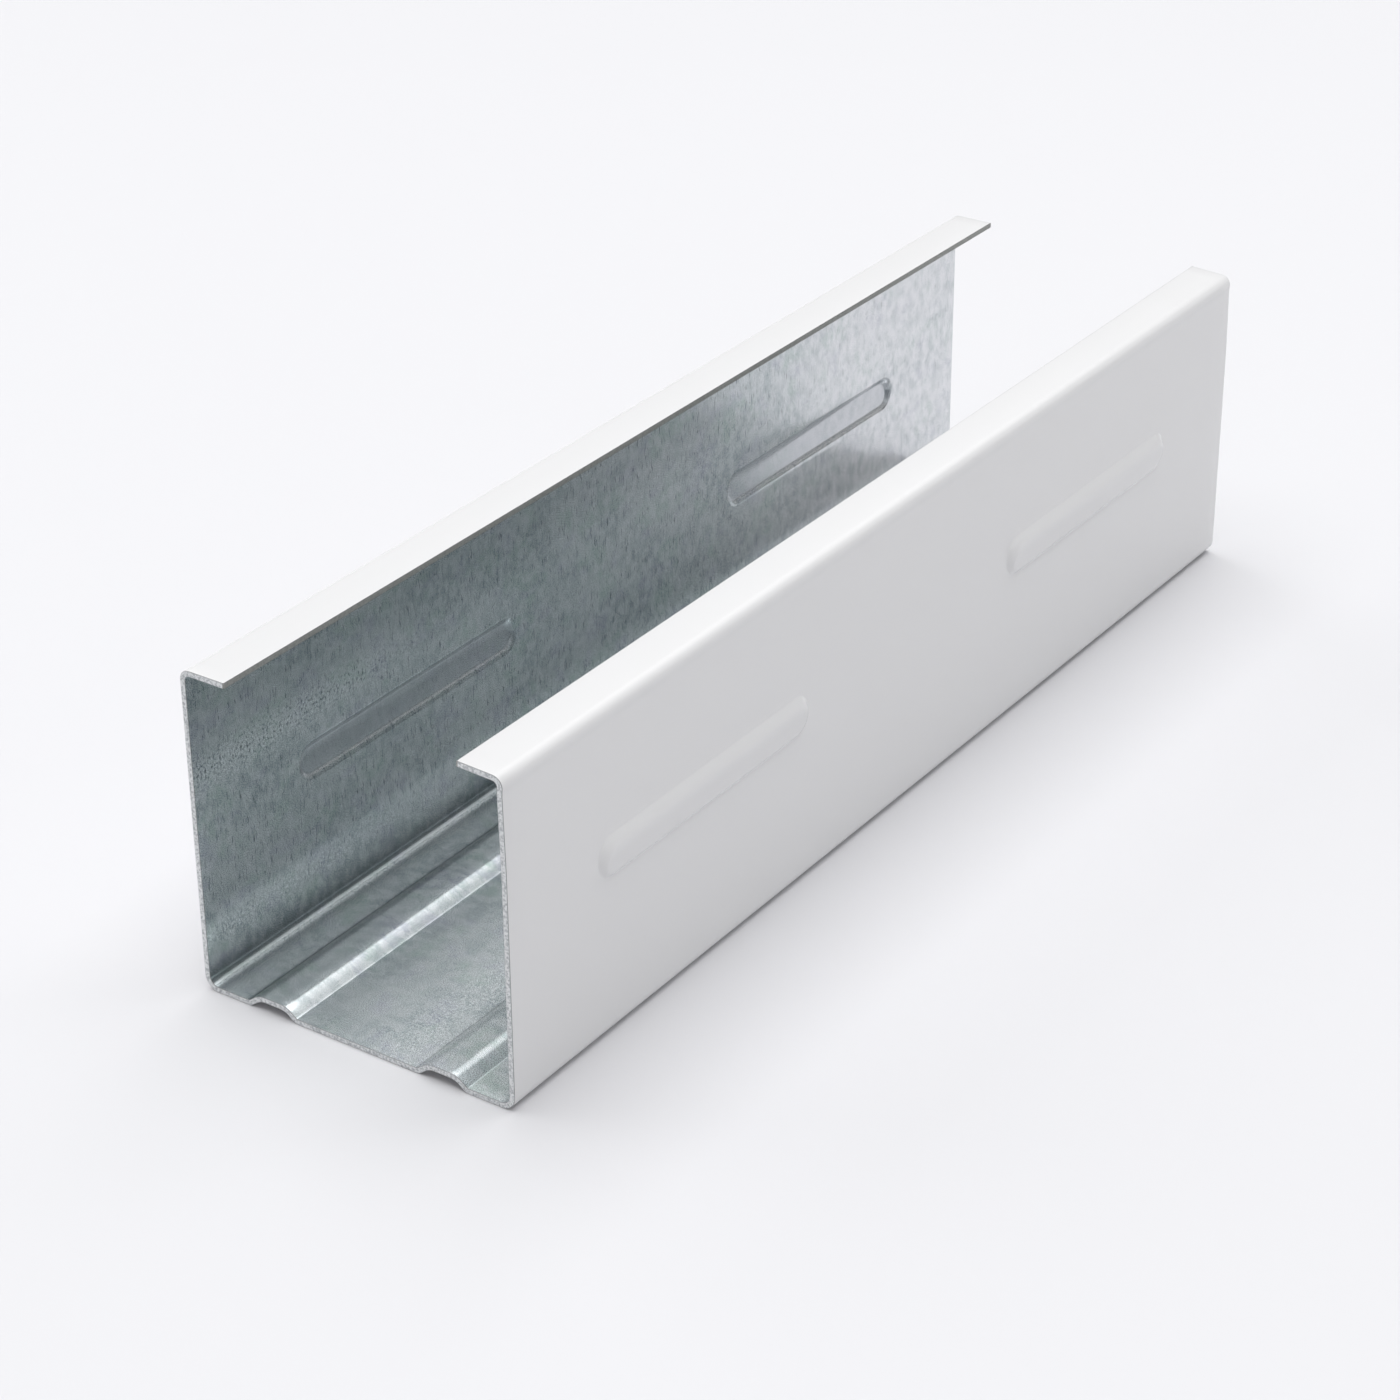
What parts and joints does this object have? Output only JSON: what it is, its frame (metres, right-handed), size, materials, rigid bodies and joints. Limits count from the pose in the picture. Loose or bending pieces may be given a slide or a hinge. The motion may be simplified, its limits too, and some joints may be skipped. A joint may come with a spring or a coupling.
{
  "type": "drywall stud",
  "caption": "Short length of lipped C-section drywall stud, rolled from thin galvanised steel with a white outer coating, with ribs along the web and long pressed beads in the flanges.",
  "frame": {"origin": "middle of the underside of the box: half way along the stud, half way across the web, on the plane that the web rests on", "axes": "+X along the stud, +Y from the wide flange to the narrow flange, +Z from the web up to the open mouth between the lips"},
  "size_m": [0.186, 0.0518, 0.0476],
  "materials": {
    "coated_steel": "galvanised steel sheet, satin white coil coating on the outer skin, bare zinc on the inner skin and bare cut edges"
  },
  "bodies": {
    "root": {"stud": "coated_steel"}
  },
  "joints": []
}
